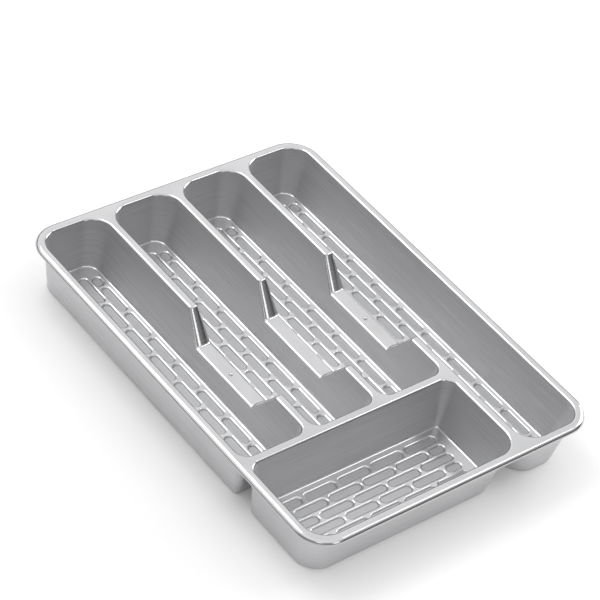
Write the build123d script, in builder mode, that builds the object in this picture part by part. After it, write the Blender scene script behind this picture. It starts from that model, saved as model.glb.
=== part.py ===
from build123d import *
from collections import namedtuple
import math
import os

# Overall size of the tray
overall_width = 294.0
overall_length = 402.0
overall_height = 50.0

# Rim and dividers, as seen from above
rim_width = 9.0
divider_width = 8.0
lane_length = 288.0
rim_corner_radius = 28.0

# Shell of the moulding
plate_thickness = 2.4
wall_thickness = 1.8
floor_thickness = 2.2
floor_ledge = 0.4
floor_corner_radius = 1.3
draft_angle = 8.0
lip_drop = 0.6
lip_thickness = 1.8

# Rounded edges
shoulder_radius = 2.0
rim_edge_radius = 3.0
floor_edge_radius = 2.0
base_edge_radius = 3.0

# Finger dips in the three dividers beside the short lanes
dip_depth = 27.3
dip_floor_length = 74.5
dip_ramp_run = 20.5
dip_front_margin = 42.0
dip_bend_radius = 3.0

# Brick pattern sunk into the floors
brick_length = 31.0
brick_width = 7.4
brick_depth = 1.2
brick_end_flat = 1.0
brick_draft_angle = 15.0
brick_end_gap = 3.8
brick_side_gap = 3.4
brick_back_margin = 10.8
brick_corner_relief = 3.3
brick_least_margin = 1.6

# Inset of a floor panel from its mouth: the draft of the walls, the rounded edge and a ledge
draft_slope = math.tan(math.radians(draft_angle))
edge_inset = floor_edge_radius * math.tan(math.radians(90 - draft_angle) / 2)
panel_step = edge_inset + floor_ledge
panel_inset = (overall_height - floor_thickness) * draft_slope + panel_step

# Tubs, from their mouths at the top of the rim
Tub = namedtuple("Tub", "name left right front back front_radius back_radius")
short_lane_count = 3
lane_count = short_lane_count + 1
junction_corner_radius = floor_corner_radius + panel_inset
mouth_corner_radius = max(rim_corner_radius - rim_width, junction_corner_radius)
mouth_left = rim_width - overall_width / 2
mouth_right = overall_width / 2 - rim_width
mouth_front = rim_width - overall_length / 2
mouth_back = overall_length / 2 - rim_width
lane_width = (mouth_right - mouth_left - short_lane_count * divider_width) / lane_count
lane_pitch = lane_width + divider_width
lane_front = mouth_back - lane_length
long_lane_left = mouth_right - lane_width

tubs = []
for index in range(short_lane_count):
    left = mouth_left + index * lane_pitch
    tubs.append(
        Tub(
            f"lane_{index + 1}",
            left,
            left + lane_width,
            lane_front,
            mouth_back,
            junction_corner_radius,
            mouth_corner_radius,
        )
    )
tubs.append(
    Tub(
        "long_lane",
        long_lane_left,
        mouth_right,
        mouth_front,
        mouth_back,
        mouth_corner_radius,
        mouth_corner_radius,
    )
)
tubs.append(
    Tub(
        "front_tub",
        mouth_left,
        long_lane_left - divider_width,
        mouth_front,
        lane_front - divider_width,
        mouth_corner_radius,
        junction_corner_radius,
    )
)
dipped_dividers = [tub.right + divider_width / 2 for tub in tubs[:short_lane_count]]

# Values that follow from the sizes above
plate_underside = overall_height - plate_thickness
lip_height = rim_edge_radius + lip_drop
dip_floor_height = overall_height - dip_depth
dip_ramp_angle = math.atan2(dip_depth, dip_ramp_run)
dip_middle = lane_front + dip_front_margin + dip_ramp_run + dip_floor_length / 2
brick_pitch = brick_length + brick_end_gap
brick_row_pitch = brick_width + brick_side_gap
half_brick_length = brick_pitch / 2 - brick_end_gap
brick_corner_radius = (brick_width - brick_end_flat) / 2


def tub_outline(sketch, tub, height, grow=0.0):
    """Draw the inside outline of a tub at a height, grown outwards by a wall."""
    inset = (overall_height - height) * draft_slope - grow
    width = tub.right - tub.left - 2 * inset
    length = tub.back - tub.front - 2 * inset
    with Locations(((tub.left + tub.right) / 2, (tub.front + tub.back) / 2)):
        Rectangle(width, length)
    fillet(sketch.vertices().group_by(Axis.Y)[-1], tub.back_radius - inset)
    fillet(sketch.vertices().group_by(Axis.Y)[0], tub.front_radius - inset)


def dip_outline(sketch, grow=0.0):
    """Draw the side view of a finger dip, grown into the divider by a thickness."""
    low = dip_floor_height - grow
    half_low = dip_floor_length / 2 + grow * math.tan(dip_ramp_angle / 2)
    half_top = half_low + (overall_height - low) / math.tan(dip_ramp_angle)
    Polygon(
        (dip_middle - half_top, overall_height),
        (dip_middle - half_low, low),
        (dip_middle + half_low, low),
        (dip_middle + half_top, overall_height),
        align=None,
    )
    fillet(sketch.vertices().group_by(Axis.Y)[0], dip_bend_radius + grow)


def brick_row(room, starts_with_half, relief=0.0):
    """List the centre and length of the bricks in a row, measured from its start."""
    half_steps = math.floor((room + brick_end_gap) / (brick_pitch / 2))
    bricks = []
    step = 0
    while step < half_steps:
        is_half = (step == 0 and starts_with_half) or step == half_steps - 1
        start = step * brick_pitch / 2
        end = start + (half_brick_length if is_half else brick_length)
        if step == 0:
            start += relief
        bricks.append(((start + end) / 2, end - start))
        step += 1 if is_half else 2
    return bricks


def row_places(room):
    """List the places of brick rows side by side, measured from the middle of the floor."""
    count = math.floor((room - 2 * brick_least_margin + brick_side_gap) / brick_row_pitch)
    return [(index - (count - 1) / 2) * brick_row_pitch for index in range(count)]


def lane_bricks(tub):
    """Draw the bricks of a lane floor, in rows that start at its back end."""
    start = tub.back - panel_inset - brick_back_margin
    room = start - tub.front - panel_inset - brick_least_margin
    places = row_places(tub.right - tub.left - 2 * panel_inset)
    for index, place in enumerate(reversed(places)):
        is_outer = index in (0, len(places) - 1)
        relief = brick_corner_relief if is_outer else 0.0
        for centre, length in brick_row(room, index % 2 == 0, relief):
            with Locations(((tub.left + tub.right) / 2 + place, start - centre)):
                RectangleRounded(brick_width, length, brick_corner_radius)


def front_tub_bricks(tub):
    """Draw the bricks of the front tub's floor, in rows centred across its width."""
    room = tub.right - tub.left - 2 * panel_inset - 2 * brick_least_margin
    places = row_places(tub.back - tub.front - 2 * panel_inset)
    for index, place in enumerate(reversed(places)):
        bricks = brick_row(room, index % 2 == 1)
        last_centre, last_length = bricks[-1]
        start = (tub.left + tub.right) / 2 + (last_centre + last_length / 2) / 2
        for centre, length in bricks:
            with Locations((start - centre, (tub.front + tub.back) / 2 + place)):
                RectangleRounded(length, brick_width, brick_corner_radius)


def faces_up(face):
    """Tell whether a face of a saddle is on its upper side."""
    return face.normal_at().Z > abs(face.normal_at().X)


def faces_sideways(face):
    """Tell whether a face of a saddle lies in the wall of a lane."""
    return abs(face.normal_at().X) > abs(face.normal_at().Z)


os.makedirs("parts", exist_ok=True)

# Rim frame: the top plate, its down-turned lip and the five mouths
with BuildPart() as rim_frame:
    with BuildSketch(Plane.XY.offset(plate_underside)):
        RectangleRounded(overall_width, overall_length, rim_corner_radius)
    extrude(amount=plate_thickness)
    with BuildSketch(Plane.XY.offset(plate_underside)):
        RectangleRounded(overall_width, overall_length, rim_corner_radius)
        RectangleRounded(
            overall_width - 2 * lip_thickness,
            overall_length - 2 * lip_thickness,
            rim_corner_radius - lip_thickness,
            mode=Mode.SUBTRACT,
        )
    extrude(amount=plate_thickness - lip_height)
    for tub in tubs:
        for height in (plate_underside, overall_height):
            with BuildSketch(Plane.XY.offset(height)) as mouth:
                tub_outline(mouth, tub, height)
        loft(ruled=True, mode=Mode.SUBTRACT)
    top_face = rim_frame.faces().sort_by(Axis.Z)[-1]
    mouth_edges = [edge for wire in top_face.inner_wires() for edge in wire.edges()]
    fillet(mouth_edges, shoulder_radius)
    top_face = rim_frame.faces().sort_by(Axis.Z)[-1]
    fillet(top_face.outer_wire().edges(), rim_edge_radius)
    with BuildSketch(*[Plane.YZ.offset(divider) for divider in dipped_dividers]) as dip:
        dip_outline(dip, plate_thickness)
    extrude(amount=lane_pitch / 2, both=True, mode=Mode.SUBTRACT)
rim_frame.part.label = "rim_frame"
export_step(rim_frame.part, "parts/rim_frame.step")

# Walls of each tub, open at the floor and cut down under the saddles
for tub in tubs:
    with BuildPart() as walls:
        for height in (0, plate_underside):
            with BuildSketch(Plane.XY.offset(height)) as outside:
                tub_outline(outside, tub, height, wall_thickness)
        loft(ruled=True)
        fillet(walls.faces().sort_by(Axis.Z)[0].edges(), base_edge_radius)
        for height in (floor_thickness, plate_underside):
            with BuildSketch(Plane.XY.offset(height)) as inside:
                tub_outline(inside, tub, height)
        loft(ruled=True, mode=Mode.SUBTRACT)
        floor_face = walls.faces().filter_by(Axis.Z).sort_by(Axis.Z)[1]
        fillet(floor_face.edges(), floor_edge_radius)
        with BuildSketch() as panel:
            tub_outline(panel, tub, floor_thickness, -panel_step)
        extrude(amount=floor_thickness, mode=Mode.SUBTRACT)
        with BuildSketch(*[Plane.YZ.offset(divider) for divider in dipped_dividers]) as dip:
            dip_outline(dip, plate_thickness)
        extrude(amount=lane_pitch / 2, both=True, mode=Mode.SUBTRACT)
    walls.part.label = f"{tub.name}_walls"
    export_step(walls.part, f"parts/{tub.name}_walls.step")

# Floor of each tub with its sunk bricks
for tub in tubs:
    with BuildPart() as floor_panel:
        with BuildSketch() as panel:
            tub_outline(panel, tub, floor_thickness, -panel_step)
        extrude(amount=floor_thickness)
        with BuildSketch(Plane.XY.offset(floor_thickness)):
            if tub.name == "front_tub":
                front_tub_bricks(tub)
            else:
                lane_bricks(tub)
        extrude(amount=-brick_depth, taper=brick_draft_angle, mode=Mode.SUBTRACT)
    floor_panel.part.label = f"{tub.name}_floor"
    export_step(floor_panel.part, f"parts/{tub.name}_floor.step")

# Saddle of each finger dip, bent down from the top of the divider and up again
for index, divider in enumerate(dipped_dividers):
    with BuildPart() as saddle:
        with BuildSketch(Plane.YZ.offset(divider)) as underside:
            dip_outline(underside, plate_thickness)
        extrude(amount=lane_pitch / 2, both=True)
        with BuildSketch(Plane.YZ.offset(divider)) as dip:
            dip_outline(dip)
        extrude(amount=lane_pitch / 2, both=True, mode=Mode.SUBTRACT)
        for tub in tubs[index : index + 2]:
            for height in (floor_thickness, overall_height):
                with BuildSketch(Plane.XY.offset(height)) as inside:
                    tub_outline(inside, tub, height)
            loft(ruled=True, mode=Mode.SUBTRACT)
        top_edges = saddle.edges().filter_by(Axis.X).group_by(Axis.Z)[-1]
        fillet(top_edges.sort_by(Axis.Y)[1:-1], dip_bend_radius)
        upper_faces = saddle.faces().filter_by(faces_up)
        side_faces = saddle.faces().filter_by(faces_sideways)
        side_edges = side_faces.edges()
        fillet([edge for edge in upper_faces.edges() if edge in side_edges], shoulder_radius)
    saddle.part.label = f"saddle_{index + 1}"
    export_step(saddle.part, f"parts/saddle_{index + 1}.step")
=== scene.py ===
import math
from collections import namedtuple

import bmesh
import bpy
from mathutils import Matrix, Vector
from mathutils.geometry import delaunay_2d_cdt


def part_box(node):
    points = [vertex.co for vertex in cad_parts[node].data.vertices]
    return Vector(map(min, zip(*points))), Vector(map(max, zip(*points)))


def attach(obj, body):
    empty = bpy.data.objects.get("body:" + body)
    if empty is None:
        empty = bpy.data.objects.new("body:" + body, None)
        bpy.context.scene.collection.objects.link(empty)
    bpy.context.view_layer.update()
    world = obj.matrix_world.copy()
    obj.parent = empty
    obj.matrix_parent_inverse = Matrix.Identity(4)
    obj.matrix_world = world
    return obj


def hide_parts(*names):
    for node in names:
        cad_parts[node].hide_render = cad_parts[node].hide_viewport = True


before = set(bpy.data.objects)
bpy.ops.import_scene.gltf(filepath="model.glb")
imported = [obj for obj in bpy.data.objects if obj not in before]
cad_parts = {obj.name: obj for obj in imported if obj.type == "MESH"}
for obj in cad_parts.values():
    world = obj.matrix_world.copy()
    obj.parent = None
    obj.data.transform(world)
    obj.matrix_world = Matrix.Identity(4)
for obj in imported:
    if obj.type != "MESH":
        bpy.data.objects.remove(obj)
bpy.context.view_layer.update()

# Shapes are worked out in millimetres, and the frame is in metres
MM = 0.001


def node_box(node):
    """Lowest and highest corner of a CAD node in millimetres."""
    low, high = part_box(node)
    return low / MM, high / MM


# Section of the moulding
RIM_LOW, RIM_HIGH = node_box("rim_frame")
HEIGHT = RIM_HIGH.z
PLATE_UNDERSIDE = node_box("lane_1_walls")[1].z
PLATE = HEIGHT - PLATE_UNDERSIDE
FLOOR = node_box("lane_1_floor")[1].z
DRAFT_ANGLE = math.radians(8.0)
DRAFT = math.tan(DRAFT_ANGLE)
WALL = 1.8
SHOULDER_RADIUS = 2.6
RIM_EDGE_RADIUS = 4.5
LIP_THICKNESS = 1.8
LIP_EDGE_RADIUS = 0.3
FLOOR_EDGE_RADIUS = 2.0
BASE_EDGE_RADIUS = 3.0
FLOOR_LEDGE = 0.4
FLOOR_CORNER_RADIUS = 1.3
RIM_CORNER_RADIUS = 28.0

# Finger dips: run of a ramp, radius of its bends, and half the flat that a ramp keeps
DIP_RAMP_RUN = 20.5
DIP_BEND_RADIUS = 3.0
DIP_RAMP_FLAT = 0.4

# Gate marks on the low strips of two saddles, with radius and height along their section
GATE_MARKS = (0, 2)
GATE_SECTION = [(1.8, -0.1), (1.75, 0.4), (1.5, 0.9), (1.1, 1.25), (0.6, 1.45), (0.2, 1.5)]
GATE_STEPS = 24

# Brick pattern
BRICK_LENGTH = 31.0
BRICK_WIDTH = 7.4
BRICK_DEPTH = 1.8
BRICK_CORNER_RADIUS = 3.2
BRICK_DRAFT_ANGLE = math.radians(15.0)
BRICK_DRAFT = math.tan(BRICK_DRAFT_ANGLE)
BRICK_TOP_RADIUS = 2.0
BRICK_LOW_RADIUS = 0.4
BRICK_END_GAP = 3.8
BRICK_SIDE_GAP = 3.4
BRICK_BACK_MARGIN = 10.8
BRICK_CORNER_RELIEF = 3.3
BRICK_LEAST_MARGIN = 1.6
TRIM_STEP = 0.5
TRIM_MARGIN = 0.02

# Fineness of the meshes
CORNER_STEPS = 14
EDGE_STEPS = 9
BRICK_CORNER_STEPS = 6
BRICK_EDGE_STEPS = 6
BEND_STEPS = 8
SHARP_ANGLE = math.radians(40)

# Tolerances for corner ends and fills in millimetres, and for merging points in metres
CORNER_TOLERANCE = 0.01
FILL_TOLERANCE = 1e-5
MERGE_DISTANCE = 1e-6

# Kind of fill that keeps all triangles, so that a test can choose among them
FILL_KIND = 0

# Finish: brush lines run along the walls at a constant height, scales per metre, heights in metres
SILVER_DARK = (0.59, 0.59, 0.6, 1)
SILVER_LIGHT = (0.69, 0.69, 0.7, 1)
SHADE_RANGE = (0.3, 0.7)
BRUSH_SCALE = (16, 16, 1100)
BRUSH_DETAIL = 5.0
BRUSH_STRENGTH = 0.05
BRUSH_HEIGHT = 0.0002
GRAIN_SCALE = 1600
GRAIN_DETAIL = 2.0
GRAIN_STRENGTH = 0.08
GRAIN_HEIGHT = 0.0001
METALLIC = 1.0

# Walls go over to flats in a range of the normal's upward part
WALL_ROUGHNESS = 0.56
FLAT_ROUGHNESS = 0.16
FACING_RANGE = (0.2, 0.6)

# Sunk bricks are rougher, and darker by a painted shade that stands in for the shade in their
# pockets, in a range of their depth
BRICK_ROUGHNESS = 0.5
BRICK_PAINTED_SHADE = (0.5, 0.5, 0.51, 1)
BRICK_RANGE = (0.4, 0.9)

# Surround: brightness at the front, the back and overhead, and the share left at the horizon,
# with ranges of the direction's y and z
WHITE = (1, 1, 1, 1)
FRONT_LEVEL = 0.3
BACK_LEVEL = 1.2
BACK_RANGE = (0.05, 0.65)
OVERHEAD_LEVEL = 1.01
OVERHEAD_RANGE = (0.45, 0.8)
HORIZON_SHARE = 0.05
HORIZON_RANGE = (0.1, 0.42)

# Soft lamps, each with its place and size in metres and its brightness
Lamp = namedtuple("Lamp", "name place size level")
LAMPS = [
    Lamp("side_lamp", (1.6, -0.1, 0.76), 1.0, 2.8),
    Lamp("top_lamp", (-0.32, 0.8, 1.36), 0.9, 2.8),
    Lamp("fill_lamp", (0.12, -1.63, 0.74), 0.5, 1.6),
    Lamp("front_lamp", (-1.65, -1.98, 1.5), 0.8, 1.0),
    Lamp("edge_lamp", (1.03, -0.6, 1.5), 0.35, 3.0),
]

# Studio floor: its white, its glow, its stronger glow in front, a painted light that lifts the
# shadow falling there, and where that fades, in metres
FLOOR_WHITE = 0.87
FLOOR_GLOW = 0.07
FRONT_PAINTED_GLOW = 0.27
FRONT_RANGE = (-0.4, -0.1)
FLOOR_SIZE = 12.0

# Camera that took the photograph: place in metres, turns in degrees and lens in millimetres
CAMERA_PLACE = (-1.0788, -1.0249, 1.3931)
CAMERA_HEADING = 46.067
CAMERA_TILT = 41.546
CAMERA_ROLL = 12.594
CAMERA_LENS = 147.0

Outline = namedtuple("Outline", "left right front back front_radius back_radius")
Post = namedtuple("Post", "x y across along top dip")
Sample = namedtuple("Sample", "y z along up")


def edge_tangent(radius, slope):
    """Distance from a corner to where its rounding starts, for a wall of this slope."""
    return radius * (math.hypot(1, slope) - slope)


def convex_edge(radius, slope, top, steps):
    """Section of a rounded upper edge, as inset and height, from the flat to the wall."""
    middle = -edge_tangent(radius, slope)
    lean = math.atan(slope)
    section = []
    for step in range(steps + 1):
        turn = math.pi / 2 + (lean - math.pi / 2) * step / steps
        section.append((middle + radius * math.cos(turn), top - radius + radius * math.sin(turn)))
    return section


def concave_edge(radius, slope, top, low, steps):
    """Section of a rounded lower edge, as inset and height, from the wall to the flat."""
    middle = (top - low) * slope + edge_tangent(radius, slope)
    lean = math.atan(slope)
    section = []
    for step in range(steps + 1):
        turn = lean + (math.pi / 2 - lean) * step / steps
        section.append((middle - radius * math.cos(turn), low + radius - radius * math.sin(turn)))
    return section


PANEL_INSET = (HEIGHT - FLOOR) * DRAFT + edge_tangent(FLOOR_EDGE_RADIUS, DRAFT) + FLOOR_LEDGE
JUNCTION_RADIUS = FLOOR_CORNER_RADIUS + PANEL_INSET


def tub_outline(name):
    """Mouth of a tub at the top of the rim, worked out from its floor."""
    low, high = node_box(f"{name}_floor")
    left, right = low.x - PANEL_INSET, high.x + PANEL_INSET
    front, back = low.y - PANEL_INSET, high.y + PANEL_INSET
    rim_width = front - RIM_LOW.y if name == "front_tub" else RIM_HIGH.y - back
    rim_radius = RIM_CORNER_RADIUS - rim_width
    front_radius = JUNCTION_RADIUS if name.startswith("lane_") else rim_radius
    back_radius = JUNCTION_RADIUS if name == "front_tub" else rim_radius
    return Outline(left, right, front, back, front_radius, back_radius)


LANES = ["lane_1", "lane_2", "lane_3", "long_lane"]
TUBS = {name: tub_outline(name) for name in [*LANES, "front_tub"]}
RIM = Outline(RIM_LOW.x, RIM_HIGH.x, RIM_LOW.y, RIM_HIGH.y, RIM_CORNER_RADIUS, RIM_CORNER_RADIUS)

# Left and right edge of each divider between two lanes, at the top of the rim
DIVIDERS = [(TUBS[one].right, TUBS[other].left) for one, other in zip(LANES, LANES[1:])]

# Tubs whose front corners keep their radius from the mouth down to the base
ROUND_FRONTS = ("long_lane", "front_tub")


def dip_samples():
    """Points along the top of a finger dip from front to back, each with its normal."""
    low, high = node_box("saddle_1")
    floor_height = low.z + PLATE
    slope_angle = math.atan2(HEIGHT - floor_height, DIP_RAMP_RUN)
    middle = (low.y + high.y) / 2
    half_top = (high.y - low.y) / 2 - PLATE / math.sin(slope_angle)
    half_low = half_top - DIP_RAMP_RUN
    tangent = DIP_BEND_RADIUS * math.tan(slope_angle / 2)
    turns = [slope_angle * (step / BEND_STEPS) for step in range(BEND_STEPS + 1)]
    half = []
    for turn in turns:
        along, up = -math.sin(turn), math.cos(turn)
        y = half_low - tangent - DIP_BEND_RADIUS * along
        half.append(Sample(y, floor_height + DIP_BEND_RADIUS * (1 - up), along, up))
    for turn in reversed(turns):
        along, up = -math.sin(turn), math.cos(turn)
        y = half_top + tangent + DIP_BEND_RADIUS * along
        half.append(Sample(y, HEIGHT - DIP_BEND_RADIUS * (1 - up), along, up))
    front = [Sample(middle - y, z, -along, up) for y, z, along, up in reversed(half)]
    return front + [Sample(middle + y, z, along, up) for y, z, along, up in half]


DIP = dip_samples()
DIP_ENDS = (DIP[0].y, DIP[-1].y)


def posts_of(outline, corner_steps, dipped_sides=()):
    """Points round an outline, each with its outward direction, counter-clockwise."""
    posts = []

    def side(x, across):
        samples = DIP if across > 0 else DIP[::-1]
        for sample in samples:
            y = sample.y - PLATE * sample.along
            posts.append(Post(x, y, across, 0.0, sample.z - PLATE * sample.up, sample))

    def corner(to_right, to_back, radius, start):
        x = (outline.right if to_right > 0 else outline.left) - to_right * radius
        y = (outline.back if to_back > 0 else outline.front) - to_back * radius
        for step in range(corner_steps + 1):
            turn = start + math.pi / 2 * step / corner_steps
            across, along = math.cos(turn), math.sin(turn)
            top = PLATE_UNDERSIDE
            posts.append(Post(x + radius * across, y + radius * along, across, along, top, None))

    if "right" in dipped_sides:
        side(outline.right, 1)
    corner(1, 1, outline.back_radius, 0.0)
    corner(-1, 1, outline.back_radius, math.pi / 2)
    if "left" in dipped_sides:
        side(outline.left, -1)
    corner(-1, -1, outline.front_radius, math.pi)
    corner(1, -1, outline.front_radius, 3 * math.pi / 2)
    return posts


def tub_posts(name):
    """Points round a tub's mouth, with the stations of the finger dips beside it."""
    dipped = {"lane_1": ["right"], "long_lane": ["left"], "front_tub": []}
    return posts_of(TUBS[name], CORNER_STEPS, dipped.get(name, ["left", "right"]))


def wall_posts(name, outward=0.0):
    """Points round a tub's wall, moved outward, each with the direction its wall draws in."""
    outline = TUBS[name]
    middle = (outline.left + outline.right) / 2
    corners_end = outline.front + outline.front_radius + CORNER_TOLERANCE
    posts = []
    for post in tub_posts(name):
        x, y = post.x + outward * post.across, post.y + outward * post.along
        moved = post._replace(x=x, y=y)
        if name in ROUND_FRONTS and not post.dip and post.y < corners_end:
            moved = moved._replace(across=1 if post.x > middle else -1, along=-1)
        posts.append(moved)
    return posts


def floor_outline(name):
    """Outline of a tub's floor panel."""
    tub = TUBS[name]
    left, right = tub.left + PANEL_INSET, tub.right - PANEL_INSET
    front, back = tub.front + PANEL_INSET, tub.back - PANEL_INSET
    front_radius = tub.front_radius - (0 if name in ROUND_FRONTS else PANEL_INSET)
    return Outline(left, right, front, back, front_radius, tub.back_radius - PANEL_INSET)


def at(post, inset, height):
    """Point at an inset from a post, at a height."""
    return (post.x - inset * post.across, post.y - inset * post.along, height)


def ring(posts, inset, height):
    """Points round an outline at an inset and a height."""
    return [at(post, inset, height) for post in posts]


def contains(outline, inset, x, y):
    """Tell whether a point lies inside an outline that is drawn in by an inset."""
    middle_y = (outline.front + outline.back) / 2
    radius = outline.back_radius if y > middle_y else outline.front_radius
    half_width = (outline.right - outline.left) / 2 - radius
    half_length = (outline.back - outline.front) / 2 - radius
    over_x = max(abs(x - (outline.left + outline.right) / 2) - half_width, 0.0)
    over_y = max(abs(y - middle_y) - half_length, 0.0)
    return math.hypot(over_x, over_y) <= radius - inset


def in_dip(x, y):
    """Tell whether a point lies on a divider where a finger dip takes its top away."""
    front, back = DIP_ENDS
    return front < y < back and any(left < x < right for left, right in DIVIDERS)


class Shell:
    """Vertices and faces of one piece, in millimetres."""

    def __init__(self):
        self.points = []
        self.faces = []

    def add(self, points):
        """Add points, and give their numbers."""
        start = len(self.points)
        self.points.extend(points)
        return list(range(start, len(self.points)))

    def face(self, points):
        """Add one face with its own points."""
        self.faces.append(self.add(points))

    def loft(self, rings, posts=None, round_again=False):
        """Join rings of points one to the next, leaving out the spans of a finger dip."""
        rows = [self.add(points) for points in rings]
        if round_again:
            rows.append(rows[0])
        count = len(rows[0])
        for row, following in zip(rows, rows[1:]):
            for here in range(count):
                there = (here + 1) % count
                if posts and posts[here].dip and posts[there].dip:
                    continue
                self.faces.append([row[here], row[there], following[there], following[here]])

    def fill(self, loops, height, keep, cuts=()):
        """Fill the flat region between closed loops, where keep says so."""
        flat = []
        edges = []
        for loop in loops:
            start, count = len(flat), len(loop)
            flat.extend(Vector((x, y)) for x, y, _ in loop)
            edges.extend((start + here, start + (here + 1) % count) for here in range(count))
        for one, other in cuts:
            edges.append((len(flat), len(flat) + 1))
            flat.extend((Vector(one), Vector(other)))
        filled = delaunay_2d_cdt(flat, edges, [], FILL_KIND, FILL_TOLERANCE)
        corners, _, triangles, *_ = filled
        numbers = self.add([(corner.x, corner.y, height) for corner in corners])
        for triangle in triangles:
            middle = sum((corners[index] for index in triangle), Vector((0, 0))) / len(triangle)
            if keep(middle.x, middle.y):
                self.faces.append([numbers[index] for index in triangle])

    def piece(self, name, material, node=None):
        """Make the Blender object, and let it stand for a CAD node where one is named."""
        mesh = bpy.data.meshes.new(name)
        scaled = [(x * MM, y * MM, z * MM) for x, y, z in self.points]
        mesh.from_pydata(scaled, [], self.faces)
        bm = bmesh.new()
        bm.from_mesh(mesh)
        bmesh.ops.remove_doubles(bm, verts=bm.verts, dist=MERGE_DISTANCE)
        loose = [vert for vert in bm.verts if not vert.link_faces]
        bmesh.ops.delete(bm, geom=loose, context="VERTS")
        bmesh.ops.recalc_face_normals(bm, faces=bm.faces)
        bm.to_mesh(mesh)
        bm.free()
        mesh.shade_smooth()
        mesh.set_sharp_from_angle(angle=SHARP_ANGLE)
        mesh.materials.append(material)
        piece = bpy.data.objects.new(name, mesh)
        bpy.context.scene.collection.objects.link(piece)
        weighted = piece.modifiers.new("even_normals", "WEIGHTED_NORMAL")
        weighted.keep_sharp = True
        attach(piece, "root")
        if node:
            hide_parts(node)


def rim_section():
    """Section of the rolled rim and its lip, as inset and height, and where the flat ends."""
    low = RIM_LOW.z
    last_turn = math.acos(1 - (HEIGHT - low - LIP_EDGE_RADIUS) / RIM_EDGE_RADIUS)
    flat_end = RIM_EDGE_RADIUS * math.sin(last_turn)
    section = []
    for step in range(EDGE_STEPS + 1):
        turn = last_turn * step / EDGE_STEPS
        drop = RIM_EDGE_RADIUS * (1 - math.cos(turn))
        section.append((flat_end - RIM_EDGE_RADIUS * math.sin(turn), HEIGHT - drop))
    section += [
        (LIP_EDGE_RADIUS, low),
        (LIP_THICKNESS - LIP_EDGE_RADIUS, low),
        (LIP_THICKNESS, low + LIP_EDGE_RADIUS),
        (LIP_THICKNESS, PLATE_UNDERSIDE),
    ]
    return section, flat_end


def make_rim(material):
    """Top plate with its mouths, rolled outer edge and lip."""
    shell = Shell()
    rim_posts = posts_of(RIM, CORNER_STEPS)
    outer, flat_end = rim_section()
    shell.loft([ring(rim_posts, inset, z) for inset, z in outer])
    shoulder = convex_edge(SHOULDER_RADIUS, DRAFT, HEIGHT, EDGE_STEPS)
    shoulder.append((PLATE * DRAFT, PLATE_UNDERSIDE))
    mouths = [tub_posts(name) for name in TUBS]
    for posts in mouths:
        shell.loft([ring(posts, inset, z) for inset, z in shoulder], posts)

    def fill_plate(rim_inset, inset, z):
        def keep(x, y):
            in_mouth = any(contains(tub, inset, x, y) for tub in TUBS.values())
            return contains(RIM, rim_inset, x, y) and not in_mouth and not in_dip(x, y)

        loops = [ring(rim_posts, rim_inset, z)]
        loops += [ring(posts, inset, z) for posts in mouths]
        cuts = []
        for left, right in DIVIDERS:
            cuts += [((left - inset, y), (right + inset, y)) for y in DIP_ENDS]
        shell.fill(loops, z, keep, cuts)

    fill_plate(flat_end, shoulder[0][0], HEIGHT)
    fill_plate(LIP_THICKNESS, shoulder[-1][0], PLATE_UNDERSIDE)
    for left, right in DIVIDERS:
        for y in DIP_ENDS:
            left_edge = [(left - inset, y, z) for inset, z in reversed(shoulder)]
            shell.face(left_edge + [(right + inset, y, z) for inset, z in shoulder])
    shell.piece("rim_frame_moulded", material, "rim_frame")


def make_walls(name, material):
    """Drafted walls of a tub, with their rounded floor and base edges."""
    posts, outer_posts = wall_posts(name), wall_posts(name, WALL)
    inner = concave_edge(FLOOR_EDGE_RADIUS, DRAFT, HEIGHT, FLOOR, EDGE_STEPS)
    base = concave_edge(BASE_EDGE_RADIUS, DRAFT, HEIGHT, 0.0, EDGE_STEPS)
    rings = [[at(post, (HEIGHT - post.top) * DRAFT, post.top) for post in posts]]
    rings += [ring(posts, inset, z) for inset, z in inner]
    rings += [ring(posts, PANEL_INSET, FLOOR), ring(posts, PANEL_INSET, 0.0)]
    rings += [ring(outer_posts, inset, z) for inset, z in reversed(base)]
    rings.append([at(post, (HEIGHT - post.top) * DRAFT, post.top) for post in outer_posts])
    shell = Shell()
    shell.loft(rings, round_again=True)
    shell.piece(f"{name}_walls_moulded", material, f"{name}_walls")


def brick_row(room, starts_with_half, relief=0.0):
    """Start and end of the bricks in a row, measured from its start."""
    half_pitch = (BRICK_LENGTH + BRICK_END_GAP) / 2
    half_steps = math.floor((room + BRICK_END_GAP) / half_pitch)
    bricks = []
    step = 0
    while step < half_steps:
        is_half = (step == 0 and starts_with_half) or step == half_steps - 1
        span = 1 if is_half else 2
        start = step * half_pitch + (relief if step == 0 else 0.0)
        bricks.append((start, (step + span) * half_pitch - BRICK_END_GAP))
        step += span
    return bricks


def row_places(room):
    """Places of the brick rows side by side, from the right or the back."""
    pitch = BRICK_WIDTH + BRICK_SIDE_GAP
    count = math.floor((room - 2 * BRICK_LEAST_MARGIN + BRICK_SIDE_GAP) / pitch)
    return [((count - 1) / 2 - index) * pitch for index in range(count)]


def brick_outlines(name):
    """Outlines of the bricks in a tub's floor."""
    low, high = node_box(f"{name}_floor")
    middle = (low + high) / 2
    half = BRICK_WIDTH / 2
    radii = (BRICK_CORNER_RADIUS, BRICK_CORNER_RADIUS)
    bricks = []
    if name == "front_tub":
        for index, place in enumerate(row_places(high.y - low.y)):
            row = brick_row(high.x - low.x - 2 * BRICK_LEAST_MARGIN, index % 2 == 1)
            first = middle.x + row[-1][1] / 2
            y = middle.y + place
            for start, end in row:
                bricks.append(Outline(first - end, first - start, y - half, y + half, *radii))
        return bricks
    places = row_places(high.x - low.x)
    first = high.y - BRICK_BACK_MARGIN
    for index, place in enumerate(places):
        relief = BRICK_CORNER_RELIEF if index in (0, len(places) - 1) else 0.0
        x = middle.x + place
        for start, end in brick_row(first - low.y - BRICK_LEAST_MARGIN, index % 2 == 0, relief):
            bricks.append(Outline(x - half, x + half, first - end, first - start, *radii))
    return bricks


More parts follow.
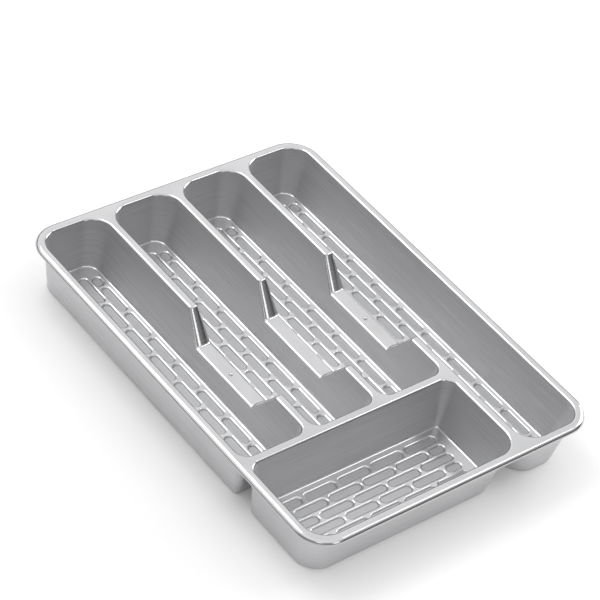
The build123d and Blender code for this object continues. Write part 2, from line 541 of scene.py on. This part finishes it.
def trim_brick(brick, panel, reach):
    """Shorten a brick until its rounded edge lies within its floor, or leave it out."""
    lies_across = brick.right - brick.left > brick.back - brick.front
    while max(brick.right - brick.left, brick.back - brick.front) > BRICK_WIDTH:
        edge = ring(posts_of(brick, BRICK_CORNER_STEPS), reach, FLOOR)
        outside = [(x, y) for x, y, _ in edge if not contains(panel, TRIM_MARGIN, x, y)]
        if not outside:
            return brick
        x, y = outside[0]
        if lies_across and x < (brick.left + brick.right) / 2:
            brick = brick._replace(left=brick.left + TRIM_STEP)
        elif lies_across:
            brick = brick._replace(right=brick.right - TRIM_STEP)
        elif y < (brick.front + brick.back) / 2:
            brick = brick._replace(front=brick.front + TRIM_STEP)
        else:
            brick = brick._replace(back=brick.back - TRIM_STEP)
    return None


def brick_section():
    """Section of a sunk brick's rounded edge, as inset and height, from the floor down."""
    low = FLOOR - BRICK_DEPTH
    upper = convex_edge(BRICK_TOP_RADIUS, BRICK_DRAFT, FLOOR, BRICK_EDGE_STEPS)
    return upper + concave_edge(BRICK_LOW_RADIUS, BRICK_DRAFT, FLOOR, low, BRICK_EDGE_STEPS)


def make_floor(name, material):
    """Floor of a tub with its sunk bricks."""
    shell = Shell()
    posts = wall_posts(name)
    top, base = ring(posts, PANEL_INSET, FLOOR), ring(posts, PANEL_INSET, 0.0)
    shell.loft([top, base])
    shell.face(base)
    section = brick_section()
    top_inset = section[0][0]
    panel = floor_outline(name)
    trimmed = [trim_brick(brick, panel, top_inset) for brick in brick_outlines(name)]
    bricks = [brick for brick in trimmed if brick]
    loops = [top]
    for brick in bricks:
        brick_posts = posts_of(brick, BRICK_CORNER_STEPS)
        rings = [ring(brick_posts, inset, z) for inset, z in section]
        shell.loft(rings)
        shell.face(rings[-1])
        loops.append(rings[0])

    def keep(x, y):
        inside = contains(panel, 0.0, x, y)
        return inside and not any(contains(brick, top_inset, x, y) for brick in bricks)

    shell.fill(loops, FLOOR, keep)
    shell.piece(f"{name}_floor_moulded", material, f"{name}_floor")


def make_saddle(index, material):
    """Saddle of a finger dip, swept from the front of the dip to its back."""
    left, right = DIVIDERS[index]
    middle, half_width = (left + right) / 2, (right - left) / 2
    steepest = max(abs(sample.along) for sample in DIP)
    sections = []
    for sample in DIP:
        slope = DRAFT * sample.up
        width = half_width + DRAFT * (HEIGHT - sample.z)
        edge = convex_edge(SHOULDER_RADIUS, slope, 0.0, EDGE_STEPS)
        start, end = edge[0][0], edge[-1][0]
        rounded = (end + width - DIP_RAMP_FLAT) / (end - start)
        stretch = 1 + (rounded - 1) * abs(sample.along) / steepest
        section = [(end - (end - inset) * stretch, depth) for inset, depth in edge]
        section.append((PLATE * slope, -PLATE))
        half = []
        for inset, depth in section:
            y, z = sample.y + depth * sample.along, sample.z + depth * sample.up
            half.append((width + inset, y, z))
        left_half = [(middle - x, y, z) for x, y, z in reversed(half)]
        sections.append(left_half + [(middle + x, y, z) for x, y, z in half])
    shell = Shell()
    shell.loft(sections)
    shell.face(sections[0])
    shell.face(sections[-1])
    name = f"saddle_{index + 1}"
    shell.piece(f"{name}_moulded", material, name)


def make_gate_mark(index, material):
    """Small nub in the middle of a saddle's low strip."""
    low, high = node_box(f"saddle_{index + 1}")
    middle = (low + high) / 2
    turns = [2 * math.pi * step / GATE_STEPS for step in range(GATE_STEPS)]
    rings = []
    for radius, height in GATE_SECTION:
        z = low.z + PLATE + height
        around = [(radius * math.cos(turn), radius * math.sin(turn)) for turn in turns]
        rings.append([(middle.x + x, middle.y + y, z) for x, y in around])
    shell = Shell()
    shell.loft(rings)
    shell.face(rings[0])
    shell.face(rings[-1])
    shell.piece(f"gate_mark_{index + 1}", material)


def axis_of(tree, vector, axis):
    """One axis of a vector, such as a place or a normal."""
    axes = tree.nodes.new("ShaderNodeSeparateXYZ")
    tree.links.new(vector, axes.inputs["Vector"])
    return axes.outputs[axis]


def ramp(tree, value, span, low, high, course="LINEAR"):
    """Value that goes from low to high while another value goes through a span."""
    node = tree.nodes.new("ShaderNodeMapRange")
    node.interpolation_type = course
    node.inputs["From Min"].default_value = span[0]
    node.inputs["From Max"].default_value = span[1]
    node.inputs["To Min"].default_value = low
    node.inputs["To Max"].default_value = high
    tree.links.new(value, node.inputs["Value"])
    return node.outputs["Result"]


def combined(tree, operation, one, other):
    """Two values put together by an operation."""
    node = tree.nodes.new("ShaderNodeMath")
    node.operation = operation
    tree.links.new(one, node.inputs[0])
    tree.links.new(other, node.inputs[1])
    return node.outputs["Value"]


def blended(tree, share, value, level):
    """Value that goes over to a fixed level as the share rises."""
    node = tree.nodes.new("ShaderNodeMix")
    tree.links.new(share, node.inputs["Factor"])
    tree.links.new(value, node.inputs["A"])
    node.inputs["B"].default_value = level
    return node.outputs["Result"]


def noise(tree, place, detail, scale=1.0):
    """Noise over a place."""
    node = tree.nodes.new("ShaderNodeTexNoise")
    node.inputs["Scale"].default_value = scale
    node.inputs["Detail"].default_value = detail
    tree.links.new(place, node.inputs["Vector"])
    return node.outputs["Fac"]


def bump(tree, height, strength, distance):
    """Bump node that follows a height."""
    node = tree.nodes.new("ShaderNodeBump")
    node.inputs["Strength"].default_value = strength
    node.inputs["Distance"].default_value = distance
    tree.links.new(height, node.inputs["Height"])
    return node


def silver_plastic():
    """Satin silver plastic with faint brush lines along the walls, a fine grain, and painted shade
    in the sunk bricks.
    """
    material = bpy.data.materials.new("silver_plastic")
    material.use_nodes = True
    tree = material.node_tree
    nodes, links = tree.nodes, tree.links
    shader = nodes["Principled BSDF"]
    shader.inputs["Metallic"].default_value = METALLIC
    place = nodes.new("ShaderNodeTexCoord").outputs["Object"]
    brushed = nodes.new("ShaderNodeMapping")
    brushed.inputs["Scale"].default_value = BRUSH_SCALE
    links.new(place, brushed.inputs["Vector"])
    brush = noise(tree, brushed.outputs["Vector"], BRUSH_DETAIL)
    grain = noise(tree, place, GRAIN_DETAIL, GRAIN_SCALE)

    shade = nodes.new("ShaderNodeValToRGB")
    dark, light = shade.color_ramp.elements
    dark.position, light.position = SHADE_RANGE
    dark.color, light.color = SILVER_DARK, SILVER_LIGHT
    links.new(brush, shade.inputs["Fac"])
    # Painted shade: below the brick tops the colour goes over to a darker silver, standing in for
    # the shade in the pockets
    brick_heights = [(FLOOR - share * BRICK_DEPTH) * MM for share in BRICK_RANGE]
    sunk = ramp(tree, axis_of(tree, place, "Z"), brick_heights, 0.0, 1.0)
    painted_pocket_shade = nodes.new("ShaderNodeMixRGB")
    painted_pocket_shade.inputs["Color2"].default_value = BRICK_PAINTED_SHADE
    links.new(sunk, painted_pocket_shade.inputs["Fac"])
    links.new(shade.outputs["Color"], painted_pocket_shade.inputs["Color1"])
    links.new(painted_pocket_shade.outputs["Color"], shader.inputs["Base Color"])

    normal = nodes.new("ShaderNodeNewGeometry").outputs["True Normal"]
    facing = axis_of(tree, normal, "Z")
    roughness = ramp(tree, facing, FACING_RANGE, WALL_ROUGHNESS, FLAT_ROUGHNESS)
    rougher = blended(tree, sunk, roughness, BRICK_ROUGHNESS)
    links.new(rougher, shader.inputs["Roughness"])

    lines = bump(tree, brush, BRUSH_STRENGTH, BRUSH_HEIGHT)
    specks = bump(tree, grain, GRAIN_STRENGTH, GRAIN_HEIGHT)
    links.new(lines.outputs["Normal"], specks.inputs["Normal"])
    links.new(specks.outputs["Normal"], shader.inputs["Normal"])
    return material


def studio_white():
    """White that keeps the shadow, and glows for the camera and in reflections, with a stronger
    glow in front that is painted light lifting the shadow there.
    """
    material = bpy.data.materials.new("studio_white")
    material.use_nodes = True
    tree = material.node_tree
    nodes, links = tree.nodes, tree.links
    nodes.remove(nodes["Principled BSDF"])
    diffuse = nodes.new("ShaderNodeBsdfDiffuse")
    diffuse.inputs["Color"].default_value = (FLOOR_WHITE, FLOOR_WHITE, FLOOR_WHITE, 1)
    rays = nodes.new("ShaderNodeLightPath").outputs
    seen = combined(tree, "MAXIMUM", rays["Is Camera Ray"], rays["Is Glossy Ray"])
    place = nodes.new("ShaderNodeTexCoord").outputs["Object"]
    depth = axis_of(tree, place, "Y")
    # Painted light: the glow grows towards the front, where it lifts the shadow that the part
    # casts
    level = ramp(tree, depth, FRONT_RANGE, FRONT_PAINTED_GLOW, FLOOR_GLOW, "SMOOTHSTEP")
    glow = nodes.new("ShaderNodeEmission")
    links.new(combined(tree, "MULTIPLY", seen, level), glow.inputs["Strength"])
    both = nodes.new("ShaderNodeAddShader")
    links.new(diffuse.outputs["BSDF"], both.inputs[0])
    links.new(glow.outputs["Emission"], both.inputs[1])
    links.new(both.outputs["Shader"], nodes["Material Output"].inputs["Surface"])
    return material


def make_stage():
    """Plain pale floor under the part."""
    mesh = bpy.data.meshes.new("studio_floor")
    half = FLOOR_SIZE / 2
    corners = [(-half, -half, 0), (half, -half, 0), (half, half, 0), (-half, half, 0)]
    mesh.from_pydata(corners, [], [[0, 1, 2, 3]])
    mesh.materials.append(studio_white())
    floor = bpy.data.objects.new("studio_floor", mesh)
    bpy.context.scene.collection.objects.link(floor)


def make_surround():
    """Soft surround, white at the back and overhead, dim at the front and at the horizon."""
    world = bpy.data.worlds.new("studio")
    bpy.context.scene.world = world
    world.use_nodes = True
    tree = world.node_tree
    background = tree.nodes["Background"]
    background.inputs["Color"].default_value = WHITE
    direction = tree.nodes.new("ShaderNodeTexCoord").outputs["Generated"]
    depth, height = axis_of(tree, direction, "Y"), axis_of(tree, direction, "Z")
    around = ramp(tree, depth, BACK_RANGE, FRONT_LEVEL, BACK_LEVEL, "SMOOTHSTEP")
    horizon = ramp(tree, height, HORIZON_RANGE, HORIZON_SHARE, 1.0, "SMOOTHSTEP")
    overhead = ramp(tree, height, OVERHEAD_RANGE, 0.0, 1.0, "SMOOTHSTEP")
    dimmed = combined(tree, "MULTIPLY", around, horizon)
    level = blended(tree, overhead, dimmed, OVERHEAD_LEVEL)
    tree.links.new(level, background.inputs["Strength"])


def make_lamp(lamp):
    """Square soft lamp that faces the part, as bright as its level."""
    data = bpy.data.lights.new(lamp.name, "AREA")
    data.shape = "SQUARE"
    data.size = lamp.size
    data.energy = lamp.level * math.pi * lamp.size**2
    item = bpy.data.objects.new(lamp.name, data)
    item.location = lamp.place
    item.rotation_euler = Vector(lamp.place).to_track_quat("Z", "Y").to_euler()
    bpy.context.scene.collection.objects.link(item)


def make_camera():
    """Camera at the photograph's viewing angle."""
    data = bpy.data.cameras.new("camera")
    data.lens = CAMERA_LENS
    camera = bpy.data.objects.new("camera", data)
    bpy.context.scene.collection.objects.link(camera)
    heading = Matrix.Rotation(-math.radians(CAMERA_HEADING), 4, "Z")
    tilt = Matrix.Rotation(math.radians(90 - CAMERA_TILT), 4, "X")
    roll = Matrix.Rotation(math.radians(CAMERA_ROLL), 4, "Z")
    camera.matrix_world = Matrix.Translation(CAMERA_PLACE) @ heading @ tilt @ roll
    bpy.context.scene.camera = camera


silver = silver_plastic()
make_rim(silver)
for tub_name in TUBS:
    make_walls(tub_name, silver)
    make_floor(tub_name, silver)
for saddle_index in range(len(DIVIDERS)):
    make_saddle(saddle_index, silver)
for mark_index in GATE_MARKS:
    make_gate_mark(mark_index, silver)
make_stage()
make_surround()
for studio_lamp in LAMPS:
    make_lamp(studio_lamp)
make_camera()
bpy.context.scene.view_settings.view_transform = "Standard"
